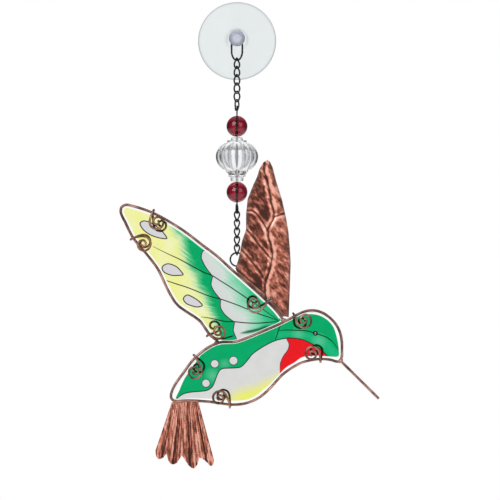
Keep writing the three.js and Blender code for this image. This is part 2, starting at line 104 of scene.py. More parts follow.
FLUSH = [
    (-37, 22), (-34.6, 15.6), (-31.9, 12.9), (-30.6, 8.8), (-29.2, 1.3), (-26.5, -4.8),
    (-23.1, -10.2), (-23.1, -14.3), (-18.3, -20.4), (-17, -25.2), (-13.6, -32.7), (-11, -40),
]

# Paint on the body
BODY_PAINT = [
    (-34.9, -80.2), (-32.8, -74.5), (-31, -70.2), (-28.8, -66.2), (-21.8, -56.4), (-16, -49.5),
    (-8.8, -46), (0, -45.5), (12, -41), (24, -36), (31, -34), (36, -32.2), (40, -31.3),
    (43.9, -31.3), (47.7, -32.2), (51.6, -34.5), (54.1, -37.1), (55.8, -40.1), (57.5, -46.5),
    (58.2, -52), (57.8, -55.4), (52.4, -55.4), (47, -55), (42, -55.2), (37.1, -55.9),
    (32.8, -58.9), (28.5, -61.4), (25.1, -64.6), (19.3, -70.8), (15, -74.5), (10.1, -78.2),
    (4.6, -80.3), (-4, -80.6), (-15, -79.6), (-27.9, -79.3),
]
MANTLE = [
    (-36.5, -81.5), (-32.8, -78.2), (-29.7, -76.5), (-25.4, -75.7), (-20.5, -75.3), (-16.9, -74.7),
    (-14.4, -73), (-13.1, -70.8), (-10.7, -64.7), (-8.6, -62.5), (-5.2, -62.1), (-0.3, -61.9),
    (2.8, -61), (6.5, -57), (8.3, -54.6), (11.4, -52.1), (15.7, -49.4), (19.9, -47.2),
    (23.9, -45.8), (28.5, -45), (31.9, -45), (35.8, -45.4), (39.2, -46.5), (44.7, -49.3),
    (49.9, -53.3), (53.5, -57.5),
]
THROAT = [
    (28, -43), (28.4, -45.5), (29.6, -47.9), (29.6, -50), (28.7, -52.3), (26.8, -54.8),
    (25.3, -57.8), (24.6, -60.8), (24.8, -68),
]
BELLY = [
    (-12, -82), (-4, -76.3), (0.9, -73.3), (10.1, -70.8), (15, -68.4), (21.8, -65.3), (27, -62),
]
COLLAR = [(25.5, -37.3), (24.3, -38.8), (23.6, -40.7), (22.6, -43.9), (21.7, -46)]
BROW = [
    (23.6, -40.7), (27.7, -40.3), (37.1, -40.6), (41.3, -41.1), (44.4, -42.1), (49.9, -43.9),
    (52.9, -45.6), (55, -47.5), (58.2, -51.8),
]
EYE = ((44.8, -42.2), 1.35, 0.65)
DOTS = [((-2, -57.8), 2.45), ((-12.7, -59.6), 2.3), ((-17.7, -70.7), 2.3)]
# Painted highlights on the green: place and radius of each glint
GLINTS = [((-13.9, -66.3), 2.6), ((-6.9, -59.6), 1.3), ((35, -42.6), 2.2), ((47, -46.5), 2.6)]

# Relief of the rear wing: the quill, and the grooves between feathers from the edge to the quill
SHEET = 0.5
QUILL = [
    (15.6, 58), (15.6, 54.4), (15.8, 49.8), (17.5, 44.4), (19.4, 34), (21.2, 24.3), (17.7, 16.5),
    (20, 5.6), (20, -0.3), (18.2, -8), (16.6, -12.2), (16.2, -19.4), (18, -30),
]
LEFT_GROOVES = [
    [(3.5, 28.5), (5.4, 28), (10.7, 26.7), (17.7, 16.5)],
    [(3.5, 19), (5.3, 17.3), (12.4, 8.7), (20, -0.3)],
    [(0.5, 7.5), (2.6, 5.4), (8.3, -0.9), (16.6, -12.2)],
    [(-2.5, -3.5), (-0.6, -5.2), (7.6, -12.2), (16.2, -19.4)],
]
RIGHT_GROOVES = [[(32, 27), (27.5, 26.3), (21.2, 24.3)]]
REAR_WING_STEP = 0.5
FEATHER_RISE = 0.75
FEATHER_SECTION = ((0, 0.12, 0.5, 0.8, 1), (0.15, 0.2, 0.5, 1, 0.6))  # share across, height
QUILL_RIDGE = (1.5, 0.8)  # the ridge's distance from the quill's groove, and its width
ABOVE_RIDGE = (1.1, 0.7)  # the same for the ridges above and below the other grooves
BELOW_RIDGE = (1.2, 0.7)
BELOW_SHARE = 0.7
SHOULDER = 1.1  # width of the slope down to a groove
DENTS = ((0.6, 2.6), (0.4, 1.1))  # share and size of the hammer's coarse and fine dents
DENT_DEPTH = 0.16
FLAT_EDGE = 1.6  # the relief dies out this near to the sheet's edge
TONE = (0.22, 0.75)  # rubbed tone of the hollows, and what a ridge adds
LEFT_PAINTED_SHADOW = 0.012  # painted shadow of the front wing: tone lost per millimetre below the ring, left of the quill
LEFT_SHADOW_DEEPEST = 18  # where that ends
RIGHT_PALER = 0.3
MOTTLE = (0.35, 3.5)  # depth and size of the tone's unevenness
STAINS = [  # place, radius and depth of tone of the dark patches
    ((11.5, -12.8), 4, 0.4), ((17.5, 26), 3.5, 0.35), ((21.5, 50), 5, 0.3), ((4, 8), 3.5, 0.25),
    ((31, -24), 5, 0.3), ((22.5, -3), 3, 0.25), ((11, 58), 4, 0.2), ((29, 8), 3.5, 0.3),
]
LAP = 0.4  # the sheet reaches this much further under the wing's wire than in the frame
LAP_REACH = 1.6  # edges this near to the wire are lapped
LAP_CLEAR = 1.2  # but none this near to the clip that goes round the wire
FAR = 9.0  # further from a drawn line than its paint or groove reaches

# Tail: the top edge, how far its sides spread and drop, and its four feathers
TAIL_TOP = ((-37.2, -81.55), (-22, -81.6))
TAIL_LEFT = (-9.4, 27.7)
TAIL_RIGHT = (8.9, 33.1)
TAIL_FEATHERS = (0, 0.19, 0.436, 0.743, 1)
TIP_DROP = (4.5, 6.3, 6.7, 3.6)
TIP_PLACE = (0.33, 0.42, 0.66, 0.8)
TAIL_GRID = (150, 64)
TAIL_RIBS = 17
TOP_BOW = 0.35  # the top edge follows the bow of the body's wire
RIB_DEPTH = 0.32
HOLLOW_DEPTH = 0.4
HOLLOW_WIDTH = 0.13  # as a share of the feather's width
TICK_DEPTH = 0.04  # fine marks across the feathers
TICK_SPACING = 1.1
TAIL_DENT = 0.12
TIP_SHAPE = RIB_SHAPE = 0.7  # below 1 the tips and ribs are full and the notches narrow
TAIL_TONE = (0.33, 0.004, 1.9)  # at the top, lost per millimetre down, gained per one of relief


def colour(code):
    """Linear colour with alpha from an sRGB hex code."""
    parts = [int(code[i:i + 2], 16) / 255 for i in (1, 3, 5)]
    return (*(p / 12.92 if p <= 0.04045 else ((p + 0.055) / 1.055) ** 2.4 for p in parts), 1)


def add(tree, kind, links=None, stops=None, **settings):
    """Adds a shader node. A link's value is a number, a colour or another node's output."""
    node = tree.nodes.new("ShaderNode" + kind)
    for name, value in settings.items():
        setattr(node, name, value)
    for socket, value in (links or {}).items():
        if isinstance(value, bpy.types.NodeSocket):
            tree.links.new(value, node.inputs[socket])
        else:
            node.inputs[socket].default_value = value
    for i, (place, code) in enumerate(stops or ()):
        ramp = node.color_ramp.elements
        stop = ramp[i] if i < 2 else ramp.new(place)
        stop.position = place
        stop.color = colour(code)
    return node


def finish(name, **values):
    """A new material, with the shader's own values set, its node tree and its shader."""
    material = bpy.data.materials.new(name)
    material.use_nodes = True
    shader = material.node_tree.nodes["Principled BSDF"]
    for socket, value in values.items():
        shader.inputs[socket.replace("_", " ")].default_value = value
    return material, material.node_tree, shader


def piece(name, mesh, material, slot, *nodes):
    """Shows a mesh as a piece of the ornament in place of the CAD nodes that it stands for."""
    made = bpy.data.objects.new(name, mesh)
    bpy.context.scene.collection.objects.link(made)
    mesh.materials.append(material)
    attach(made, "root")
    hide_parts(*nodes)
    return made


def merged(node):
    """A copy of a CAD node's mesh with its corners joined."""
    solid = bmesh.new()
    solid.from_mesh(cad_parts[node].data)
    bmesh.ops.remove_doubles(solid, verts=solid.verts, dist=0.002 * MM)
    return solid


def meshed(name, solid):
    """The finished bmesh as a smooth-shaded mesh with sharp corners kept."""
    mesh = bpy.data.meshes.new(name)
    solid.to_mesh(mesh)
    solid.free()
    mesh.shade_smooth()
    mesh.set_sharp_from_angle(angle=math.radians(40))
    return mesh


def smooth(line, steps=6, closed=False):
    """A Catmull-Rom curve through the points, as an array."""
    points = np.array(line, float)
    if closed:
        padded = np.vstack([points[-1], points, points[:2]])
    else:
        padded = np.vstack([2 * points[0] - points[1], points, 2 * points[-1] - points[-2]])
    before, start, end, after = padded[:-3], padded[1:-2], padded[2:-1], padded[3:]
    run = []
    for t in np.arange(steps) / steps:
        run.append(0.5 * (
            2 * start + (end - before) * t + (2 * before - 5 * start + 4 * end - after) * t**2
            + (3 * start - before - 3 * end + after) * t**3))
    curve = np.stack(run, axis=1).reshape(-1, points.shape[1])
    return curve if closed else np.vstack([curve, points[-1]])


def wire_path(node, diameter):
    """The middle line of a CAD wire, from the rings of corners that its section leaves."""
    solid = merged(node)
    corners = np.array([v.co for v in solid.verts]) / MM
    near, far = (diameter * math.sin(k * math.pi / WIRE_SIDES) for k in (1, 2))
    ring_of = np.full(len(corners), -1)
    middles = []
    for i, corner in enumerate(corners):
        gaps = np.linalg.norm(corners - corner, axis=1)
        mates = np.flatnonzero(np.minimum(abs(gaps - near), abs(gaps - far)) < 0.002 * diameter)
        ring = [i, *mates]
        if len(ring) == WIRE_SIDES and max(ring_of[ring]) < 0:
            ring_of[ring] = len(middles)
            middles.append(corners[ring].mean(axis=0))
    beside = [set() for _ in middles]
    for edge in solid.edges:
        a, b = (ring_of[v.index] for v in edge.verts)
        if a != b and min(a, b) >= 0:
            beside[a].add(b)
            beside[b].add(a)
    solid.free()
    order = [min(range(len(middles)), key=lambda i: len(beside[i]))]
    while len(order) < len(middles):
        order.append(next(i for i in beside[order[-1]] if i not in order))
    return np.array(middles)[order]


def drawn_wire(name, path, diameter, closed, unevenness=0.0):
    """A round wire along a path in millimetres; unevenness is the share its radius wanders."""
    curve = bpy.data.curves.new(name, "CURVE")
    curve.dimensions = "3D"
    curve.bevel_depth = diameter / 2 * MM
    curve.bevel_resolution = 3
    curve.use_fill_caps = not closed
    spline = curve.splines.new("POLY")
    spline.points.add(len(path) - 1)
    for point, place in zip(spline.points, path):
        point.co = (*(place * MM), 1)
        point.radius = 1 + unevenness * noise.noise(Vector(place) * 0.35)
    spline.use_cyclic_u = closed
    shape = bpy.data.objects.new(name, curve)
    bpy.context.scene.collection.objects.link(shape)
    shown = shape.evaluated_get(bpy.context.evaluated_depsgraph_get())
    mesh = bpy.data.meshes.new_from_object(shown)
    bpy.data.objects.remove(shape)
    bpy.data.curves.remove(curve)
    solid = bmesh.new()
    solid.from_mesh(mesh)
    bpy.data.meshes.remove(mesh)
    bmesh.ops.remove_doubles(solid, verts=solid.verts, dist=0.001 * MM)
    bmesh.ops.recalc_face_normals(solid, faces=solid.faces)
    return meshed(name, solid)


def wire_piece(node, diameter, closed, material, slot, steps=4, unevenness=0.0):
    """Shows a CAD wire as a round one on the same middle line."""
    path = smooth(wire_path(node, diameter), steps, closed)
    mesh = drawn_wire(f"{node}_wire", path, diameter, closed, unevenness)
    return piece(f"{node}_wire", mesh, material, slot, node)


def to_line(points, line, closed=False):
    """Distance of each point from the line, its side (positive to the left) and place along it."""
    starts = np.array(line, float)
    ends = np.roll(starts, -1, axis=0)
    if not closed:
        starts, ends = starts[:-1], ends[:-1]
    edge = ends - starts
    offset = points[:, None, :] - starts[None]
    share = np.clip((offset * edge).sum(2) / np.maximum((edge**2).sum(1), 1e-9), 0, 1)
    gap = np.linalg.norm(offset - share[..., None] * edge, axis=2)
    best = gap.argmin(axis=1)
    row = np.arange(len(points))
    cross = edge[best, 0] * offset[row, best, 1] - edge[best, 1] * offset[row, best, 0]
    along = (best + share[row, best]) / len(edge)
    return gap[row, best], np.where(cross >= 0, 1, -1), along


def inside(points, outline):
    """Signed distance to a closed outline, positive inside."""
    gap, _, _ = to_line(points, outline, closed=True)
    starts = np.array(outline, float)
    ends = np.roll(starts, -1, axis=0)
    x, z = points[:, :1], points[:, 1:]
    spans = (starts[:, 1] > z) != (ends[:, 1] > z)
    rise = np.where(ends[:, 1] == starts[:, 1], 1e-9, ends[:, 1] - starts[:, 1])
    hits = spans & (x < (ends[:, 0] - starts[:, 0]) * (z - starts[:, 1]) / rise + starts[:, 0])
    return np.where(hits.sum(axis=1) % 2 == 1, gap, -gap)


def stroke(points, line, width, thin=0.45):
    """Signed distance to the edge of a brush stroke that thins to a share at its ends."""
    gap, _, along = to_line(points, line)
    swell = thin + (1 - thin) * np.minimum(1, 5 * np.minimum(along, 1 - along))
    return gap - width / 2 * swell


def sided(points, line):
    """Distance from a line, positive on its left."""
    gap, side, _ = to_line(points, line)
    return gap * side


def drawing_places(mesh):
    """The corners' places on the bird's drawing, in millimetres."""
    places = np.empty(len(mesh.vertices) * 3)
    mesh.vertices.foreach_get("co", places)
    return (places.reshape(-1, 3) - np.array(BIRD))[:, (0, 2)] / MM


def store(mesh, **values):
    """Keeps one number for each corner under each name."""
    for name, numbers in values.items():
        kept = mesh.attributes.new(name, "FLOAT", "POINT")
        kept.data.foreach_set("value", numbers.astype(np.float32))


def ruled(solid, step):
    """Cuts the bmesh by upright and level planes, a step in millimetres apart."""
    corners = np.array([v.co for v in solid.verts])
    for axis in (0, 2):
        normal = Vector((axis == 0, 0, axis == 2))
        low, high = corners[:, axis].min(), corners[:, axis].max()
        for place in np.arange(low + step / 2 * MM, high, step * MM):
            everything = [*solid.verts, *solid.edges, *solid.faces]
            bmesh.ops.bisect_plane(solid, geom=everything, plane_co=normal * place, plane_no=normal)


def plate(node):
    """A flat CAD solid with its triangles joined, its largest face, and that face's outline."""
    solid = merged(node)
    bmesh.ops.dissolve_limit(
        solid, angle_limit=math.radians(1), verts=solid.verts, edges=solid.edges)
    face = max(solid.faces, key=lambda f: f.calc_area())
    outline = [((v.co - BIRD).x / MM, (v.co - BIRD).z / MM) for v in face.verts]
    return solid, face, outline


def refined(solid, ink, reach=0.75, cuts=3):
    """Cuts the faces near a drawn line finer; ink gives the distance to the lines."""
    middles = np.array([(f.calc_center_median() - BIRD) for f in solid.faces])[:, (0, 2)] / MM
    near = ink(middles) < reach
    faces = [f for f, close in zip(solid.faces, near) if close and abs(f.normal.y) > 0.9]
    edges = list({e for f in faces for e in f.edges})
    bmesh.ops.subdivide_edges(solid, edges=edges, cuts=cuts, use_grid_fill=True)


def panel(node, name, ink, step=0.8, arris=0.2):
    """A glass panel with its edges ground round, ruled finely enough to carry the paint."""
    solid, _, outline = plate(node)
    flat = [f for f in solid.faces if abs(f.normal.y) > 0.9]
    rims = list({e for f in flat for e in f.edges})
    bmesh.ops.bevel(
        solid, geom=rims, offset=arris * MM, segments=2, profile=0.5, affect="EDGES", material=-1)
    ruled(solid, step)
    refined(solid, ink)
    return meshed(name, solid), outline


def wing_panel():
    """The wing's glass, with the distances at each corner that its paint goes by."""
    scallops = [smooth(line) for line in SCALLOPS]
    teardrops = [smooth(line, closed=True) for line in TEARDROPS]
    veins = [smooth(line) for line in VEINS]

    def teardrop(places):
        return np.max([inside(places, line) for line in teardrops], axis=0)

    def ink(places):
        return np.min([
            *(stroke(places, line, VEIN_WIDTH) for line in veins),
            *(stroke(places, line, OUTLINE_WIDTH, thin=0.8) for line in scallops),
            stroke(places, FRINGE, OUTLINE_WIDTH * 1.6),
            abs(teardrop(places)) - OUTLINE_WIDTH * 0.6,
        ], axis=0)

    mesh, outline = panel("wing_glass", "painted_wing", ink)
    places = drawing_places(mesh)
    edge = np.vstack(scallops)
    root = places - np.array(WING_ROOT)
    margin = np.where(to_line(places, SEAM)[0] < 3, SEAM_MARGIN, WING_MARGIN)
    store(
        mesh, ink=ink(places), teardrop=teardrop(places), scallop=sided(places, edge),
        flush=-sided(places, smooth(FLUSH)),
        # the dark band above the seam is painted shade
        shade=stroke(places, smooth(PAINTED_SEAM_SHADOW), PAINTED_SEAM_SHADOW_WIDTH, thin=0.2),
        painted=inside(places, outline) - margin,
        reach=np.hypot(*root.T), bearing=np.degrees(np.arctan2(root[:, 1], -root[:, 0])))
    piece("painted_wing", mesh, wing_paint(), "painted_glass", "wing_glass")


def body_panel():
    """The glass of the body and head, with the distances that its paint goes by."""
    mantle, throat = smooth(MANTLE), smooth(THROAT)
    collar, brow = smooth(COLLAR), smooth(BROW)

    def disc(places, spot):
        (x, z), radius, *_ = spot
        return np.hypot(places[:, 0] - x, places[:, 1] - z) - radius

    def discs(places, spots):
        return np.min([disc(places, spot) for spot in spots], axis=0)

    def ink(places):
        pale = sided(places, mantle) < 0
        return np.min([
            stroke(places, mantle, OUTLINE_WIDTH, thin=0.9),
            stroke(places, collar, OUTLINE_WIDTH),
            stroke(places, brow, OUTLINE_WIDTH),
            np.maximum(disc(places, EYE), -disc(places, (EYE[0], EYE[2]))),
            abs(discs(places, DOTS)) - OUTLINE_WIDTH / 3,
            np.where(pale, stroke(places, throat, OUTLINE_WIDTH * 0.7), FAR),
        ], axis=0)

    mesh, _ = panel("body_glass", "painted_body", ink)
    places = drawing_places(mesh)
    # A band of painted highlight between the brow and the mantle
    cheek = np.minimum(-sided(places, brow), sided(places, mantle))
    store(
        mesh, ink=ink(places), dot=-discs(places, DOTS), pupil=-disc(places, (EYE[0], EYE[2])),
        mantle=sided(places, mantle), throat=sided(places, throat),
        belly=-sided(places, smooth(BELLY)),
        cheek=np.where(places[:, 0] > COLLAR[-1][0], cheek, -FAR), glint=-discs(places, GLINTS),
        painted=inside(places, smooth(BODY_PAINT, 4, closed=True)))
    piece("painted_body", mesh, body_paint(), "painted_glass", "body_glass")


def ridge(distance, place, width):
    """1 where a ridge stands, and falling to 0 on both sides."""
    return np.exp(-(((distance - place) / width) ** 2))


def feather_relief(places):
    """Height of the rear wing's relief, the distance to the nearest groove, and the rubbed tone
    with its painted shadow.
    """
    quill_gap, quill_side, _ = to_line(places, smooth(QUILL))
    left = quill_side < 0
    row = np.arange(len(places))
    height, tone = np.zeros(len(places)), np.zeros(len(places))
    groove = quill_gap.copy()
    for grooves, mine, way in ((LEFT_GROOVES, left, 1), (RIGHT_GROOVES, ~left, -1)):
        lines = [smooth(line) for line in grooves]
        gaps = np.array([to_line(places, line)[0] for line in lines])
        field = np.array([way * sided(places, line) < 0 for line in lines]).sum(axis=0)
        ends = np.full(len(places), FAR)
        between = np.vstack([ends, gaps, ends])
        above, below = between[field, row], between[field + 1, row]
        share = above / (above + below)
        rise = np.interp(share, *FEATHER_SECTION)
        beside_quill = ridge(quill_gap, *QUILL_RIDGE)
        rise = np.maximum(rise, 0.95 * beside_quill)
        shoulder = np.clip(np.minimum(np.minimum(above, below), quill_gap) / SHOULDER, 0, 1)
        height = np.where(mine, rise * (1 - (1 - shoulder) ** 2), height)
        rubbed = np.maximum(BELOW_SHARE * ridge(below, *BELOW_RIDGE), ridge(above, *ABOVE_RIDGE))
        rubbed = np.maximum(rubbed, beside_quill)
        tone = np.where(mine, TONE[0] + TONE[1] * rubbed, tone)
        groove = np.where(mine, np.minimum(groove, gaps.min(axis=0)), groove)
    # Painted shadow of the front wing: darker towards the bottom, left of the quill
    fade = -LEFT_PAINTED_SHADOW * np.clip(-places[:, 1], 0, LEFT_SHADOW_DEEPEST)
    tone += np.where(left, fade, RIGHT_PALER)
    for centre, radius, depth in STAINS:
        tone -= depth * np.exp(-(np.linalg.norm(places - centre, axis=1) / radius) ** 2)
    return height, groove, tone


def beaten(places, size):
    """Uneven beating of the sheet, about -1 to 1, with bumps some millimetres wide."""
    return np.array([noise.noise(Vector((x, z, 3.7)) / size) for x, z in places])


def facing_front(solid):
    """Turns an open sheet towards the viewer and thickens it behind."""
    bmesh.ops.recalc_face_normals(solid, faces=solid.faces)
    if sum(f.normal.y for f in solid.faces) > 0:
        bmesh.ops.reverse_faces(solid, faces=solid.faces)
    bmesh.ops.solidify(solid, geom=solid.faces[:], thickness=SHEET * MM)


def rear_wing():
    """One face of the CAD sheet, lapped under the wire, pressed into feathers, then thickened."""
    solid, face, outline = plate("rear_wing")
    others = [f for f in solid.faces if f is not face]
    bmesh.ops.delete(solid, geom=others, context="FACES")
    ruled(solid, REAR_WING_STEP)
    corners = solid.verts[:]
    wire = smooth(wire_path("wing_frame", FRAME_WIRE), 12)
    clip = smooth(wire_path("wing_clip_4", CLIP_WIRE), 4)
    for corner in corners:
        at = np.array(corner.co) / MM
        off = wire - at
        reach = np.hypot(off[:, 0], off[:, 2])
        near = reach.argmin()
        clear = np.linalg.norm((clip - at)[:, (0, 2)], axis=1).min() > LAP_CLEAR
        if corner.is_boundary and reach[near] < LAP_REACH and clear:
            corner.co += Vector((off[near, 0], 0, off[near, 2])) / reach[near] * LAP * MM
    back = corners[0].co.y
    places = np.array([(v.co - BIRD) for v in corners])[:, (0, 2)] / MM
    height, _, _ = feather_relief(places)
    edge = inside(places, outline)
    bumps = sum(share * beaten(places, size) for share, size in DENTS)
    feathers = FEATHER_RISE * height * np.clip(edge / FLAT_EDGE, 0, 1) ** 0.5
    relief = feathers + DENT_DEPTH * bumps * np.clip(edge, 0, 1)
    for corner, rise in zip(corners, relief):
        corner.co.y = back - (max(rise, 0) + SHEET) * MM
    facing_front(solid)
    mesh = meshed("embossed_wing", solid)
    places = drawing_places(mesh)
    _, groove, tone = feather_relief(places)
    edge = inside(places, outline)
    # The stored tone holds the painted shadow left of the quill
    store(mesh, height=tone + MOTTLE[0] * beaten(places, MOTTLE[1]), groove=groove, edge=edge)
    copper = embossed_copper("embossed_copper_wing", turn=-0.68, patch=(2.4, 5), barb=(0.5, 3))
    piece("embossed_wing", mesh, copper, "copper_sheet", "rear_wing")


def tail():
    """The tail as a grid: across from left to right, and down from the wire to the feather tips."""
    solid = bmesh.new()
    bmesh.ops.create_grid(solid, x_segments=TAIL_GRID[0], y_segments=TAIL_GRID[1], size=0.5)
    for corner in solid.verts:
        u, v = corner.co.x + 0.5, corner.co.y + 0.5
        feather = min(sum(end <= u for end in TAIL_FEATHERS[1:]), len(TIP_DROP) - 1)
        start, end = TAIL_FEATHERS[feather:feather + 2]
        share = min(max((u - start) / (end - start), 0), 1)
        skewed = share ** (math.log(0.5) / math.log(TIP_PLACE[feather]))
        tip = TIP_DROP[feather] * math.sin(math.pi * skewed) ** TIP_SHAPE
        spread = TAIL_LEFT[0] + (TAIL_RIGHT[0] - TAIL_LEFT[0]) * u
        drop = TAIL_LEFT[1] + (TAIL_RIGHT[1] - TAIL_LEFT[1]) * u + tip
        x = TAIL_TOP[0][0] + (TAIL_TOP[1][0] - TAIL_TOP[0][0]) * u + spread * v
        z = TAIL_TOP[0][1] - drop * v + TOP_BOW * math.sin(math.pi * u) * (1 - v)
        rib = abs(math.sin(math.pi * TAIL_RIBS * u)) ** RIB_SHAPE
        hollow = math.exp(-((share - 0.5) / HOLLOW_WIDTH) ** 2) * min(1, 0.35 + v)
        bump = noise.noise(Vector((x * 0.9, z * 0.35, 1.3)))
        tick = TICK_DEPTH * math.sin(2 * math.pi * z / TICK_SPACING)
        height = RIB_DEPTH * rib - HOLLOW_DEPTH * hollow + TAIL_DENT * bump + tick
        corner.co = Vector((x, -height, z)) * MM + Vector(BIRD)
    facing_front(solid)
    mesh = meshed("fluted_tail", solid)
    depth = (BIRD.y - np.array([v.co.y for v in mesh.vertices])) / MM
    away = np.full(len(depth), FAR)
    down = -drawing_places(mesh)[:, 1] + TAIL_TOP[0][1]
    tone = TAIL_TONE[0] - TAIL_TONE[1] * down + TAIL_TONE[2] * depth
    store(mesh, height=tone, groove=away, edge=away)
    copper = embossed_copper("embossed_copper_tail", turn=0, patch=(1.8, 9), barb=(0.6, 5))
    piece("fluted_tail", mesh, copper, "copper_sheet", "tail")


LOBES_FROM = 3  # nearer than this to the axis a turned body has no lobes
FURROW_SHAPE = 0.6  # below 1 the furrows are narrow and the lobes full


def furrow(around, lobes):
    """Depth share of the furrow between two lobes, at an angle round the axis."""
    return 1 - abs(math.cos(around * lobes / 2)) ** FURROW_SHAPE


def turned(profile, steps=64, lobes=0, lobe_depth=0.0, lobed=lambda height: False):
    """A body turned about Z from its closed profile of radius and height in millimetres."""
    solid = bmesh.new()
    line = [solid.verts.new(Vector((radius, 0, height)) * MM) for radius, height in profile]
    edges = [solid.edges.new(pair) for pair in zip(line, [*line[1:], line[0]])]
    bmesh.ops.spin(
        solid, geom=[*line, *edges], angle=2 * math.pi, steps=steps, axis=(0, 0, 1),
        cent=(0, 0, 0), use_merge=True)
    bmesh.ops.remove_doubles(solid, verts=solid.verts, dist=0.001 * MM)
    for corner in solid.verts:
        share = lobed(corner.co.z / MM)
        radius = math.hypot(corner.co.x, corner.co.y)
        if share and radius > LOBES_FROM * MM:
            around = math.atan2(corner.co.y, corner.co.x)
            keep = 1 - lobe_depth * share * furrow(around, lobes) * MM / radius
            corner.co.x *= keep
            corner.co.y *= keep
    bmesh.ops.recalc_face_normals(solid, faces=solid.faces)
    return solid


def middle(node):
    """Centre of a CAD node's box."""
    low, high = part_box(node)
    return (low + high) / 2


BEAD_RADIUS = 6.0
BORE_RADIUS = 0.58
ARC_STEPS = 25


def bore_share(mesh):
    """1 on the wall of a bead's drilled bore and 0 on its outside."""
    places = np.array([v.co for v in mesh.vertices])
    centre = (places.min(axis=0) + places.max(axis=0)) / 2
    return (np.hypot(*(places - centre)[:, :2].T) < 1.1 * BORE_RADIUS * MM).astype(float)


def red_beads():
    """Two round beads with a drilled bore."""
    ruby = ruby_glass()
    slope = math.acos(BORE_RADIUS / BEAD_RADIUS)
    sweep = np.linspace(-slope, slope, ARC_STEPS)
    profile = [(BEAD_RADIUS * math.cos(a), BEAD_RADIUS * math.sin(a)) for a in sweep]
    for place in ("upper", "lower"):
        solid = turned(profile)
        bmesh.ops.translate(solid, verts=solid.verts, vec=middle(f"red_bead_{place}"))
        mesh = meshed(f"ruby_bead_{place}", solid)
        store(mesh, bore=bore_share(mesh))
        piece(f"ruby_bead_{place}", mesh, ruby, "red_glass", f"red_bead_{place}")


CRYSTAL_RADIUS = 12.1
CRYSTAL_HEIGHT = 25
CRYSTAL_STEPS = 192
CRYSTAL_LOBES = 14
LOBE_DEPTH = 1.5
# Radius and height along the crystal, as shares of its own radius and height
CRYSTAL_COLLARS = [
    (0.25, 0), (0.3, 0), (0.31, 0.085), (0.4, 0.1), (0.41, 0.125), (0.38, 0.135), (0.45, 0.17),
    (0.54, 0.235),
]
CRYSTAL_CROWN = [(0.46, 0.9), (0.46, 0.925), (0.28, 0.93), (0.28, 0.98), (0.24, 1)]
CRYSTAL_BELLY = (0.245, 0.895)
BELLY_ARC = (-0.36, 0.43)  # in half turns
BELLY_SHAPE = 0.75
BELLY_NECK = 0.46


def crystal_bead():
    """Stepped collars, a belly in rounded lobes, and a crown, on one drilled bore."""
    low, high = CRYSTAL_BELLY
    belly = []
    bottom, top = (math.sin(a * math.pi) for a in BELLY_ARC)
    for a in np.linspace(*BELLY_ARC, 22) * math.pi:
        height = (math.sin(a) - bottom) / (top - bottom)
        belly.append((max(math.cos(a) ** BELLY_SHAPE, BELLY_NECK), low + (high - low) * height))
    rows = [*CRYSTAL_COLLARS, *belly, *CRYSTAL_CROWN]
    bore = BORE_RADIUS / CRYSTAL_RADIUS
    profile = [
        (r * CRYSTAL_RADIUS, (h - 0.5) * CRYSTAL_HEIGHT) for r, h in [(bore, 0), *rows, (bore, 1)]]

    def lobed(height):
        share = (height / CRYSTAL_HEIGHT + 0.5 - low) / (high - low)
        return math.sin(math.pi * share) ** 0.5 if 0 < share < 1 else 0

    solid = turned(profile, CRYSTAL_STEPS, CRYSTAL_LOBES, LOBE_DEPTH, lobed)
    # Furrow depth at each corner, kept to darken the glass there as painted shade
    shade = [lobed(v.co.z / MM) * furrow(math.atan2(v.co.y, v.co.x), CRYSTAL_LOBES)
             if math.hypot(v.co.x, v.co.y) > LOBES_FROM * MM else 0 for v in solid.verts]
    bmesh.ops.translate(solid, verts=solid.verts, vec=middle("crystal_bead"))
    mesh = meshed("ribbed_crystal", solid)
    store(mesh, furrow=np.array(shade), bore=bore_share(mesh))
    piece("ribbed_crystal", mesh, clear_glass(), "clear_glass", "crystal_bead")


CUP_STEPS = 96
CUP_RADIUS = 22.5
CUP_RIM_SHADE = (21.9, 0.4)  # where the rim's painted shade starts, and over what width
HUB_RADIUS = 6
HEAD_RADIUS = 4.6
HEAD_DEPTH = 3.8
NECK_RADIUS = 2.2
NECK_LENGTH = 5


def suction_cup():
    """Moulded in one: thin skirt with a rounded rim, hub, neck and a domed head."""
    low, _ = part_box("suction_cup")
    front = -low.y / MM
    neck_end = front - HEAD_DEPTH
    neck_start = neck_end - NECK_LENGTH
    profile = [(0.01, 0.5), (8, 0.45), (16, 0.2), (21, 0.02), (22.2, 0.02), (CUP_RADIUS, 0.3),
               (22.35, 0.75), (21.6, 1.05), (19, 1.5), (15, 2.3), (11, 3.2), (8.2, 4.1), (7, 4.9),
               (6.35, 6.2), (HUB_RADIUS - 0.25, 8), (5.35, neck_start - 0.5), (5, neck_start - 0.1),
               (4.4, neck_start), (2.9, neck_start), (2.35, neck_start + 0.25),
               (NECK_RADIUS, neck_start + 0.9), (NECK_RADIUS, neck_end - 0.6),
               (2.5, neck_end - 0.15), (3.2, neck_end), (4.1, neck_end), (4.45, neck_end + 0.15),
               (HEAD_RADIUS, neck_end + 0.7), (HEAD_RADIUS, neck_end + 1.7), (4.4, neck_end + 2.5),
               (3.8, neck_end + 3.2), (2.7, neck_end + 3.65), (1.2, front - 0.03), (0.01, front)]
    solid = turned(profile, CUP_STEPS)
    outwards = Matrix.Rotation(math.pi / 2, 3, "X")
    bmesh.ops.rotate(solid, verts=solid.verts, cent=(0, 0, 0), matrix=outwards)
    bmesh.ops.remove_doubles(solid, verts=solid.verts, dist=0.05 * MM)
    mesh = meshed("moulded_cup", solid)
    out = np.array([-v.co.y for v in mesh.vertices]) / MM
    radius = np.array([math.hypot(v.co.x, v.co.z) for v in mesh.vertices]) / MM
    # Share of the rim's painted shade
    rim = np.clip((radius - CUP_RIM_SHADE[0]) / CUP_RIM_SHADE[1], 0, 1)
    store(mesh, head=np.clip(out - neck_end + 1, 0, 1), rim=rim)
    piece("moulded_cup", mesh, clear_vinyl(), "clear_vinyl", "suction_cup")


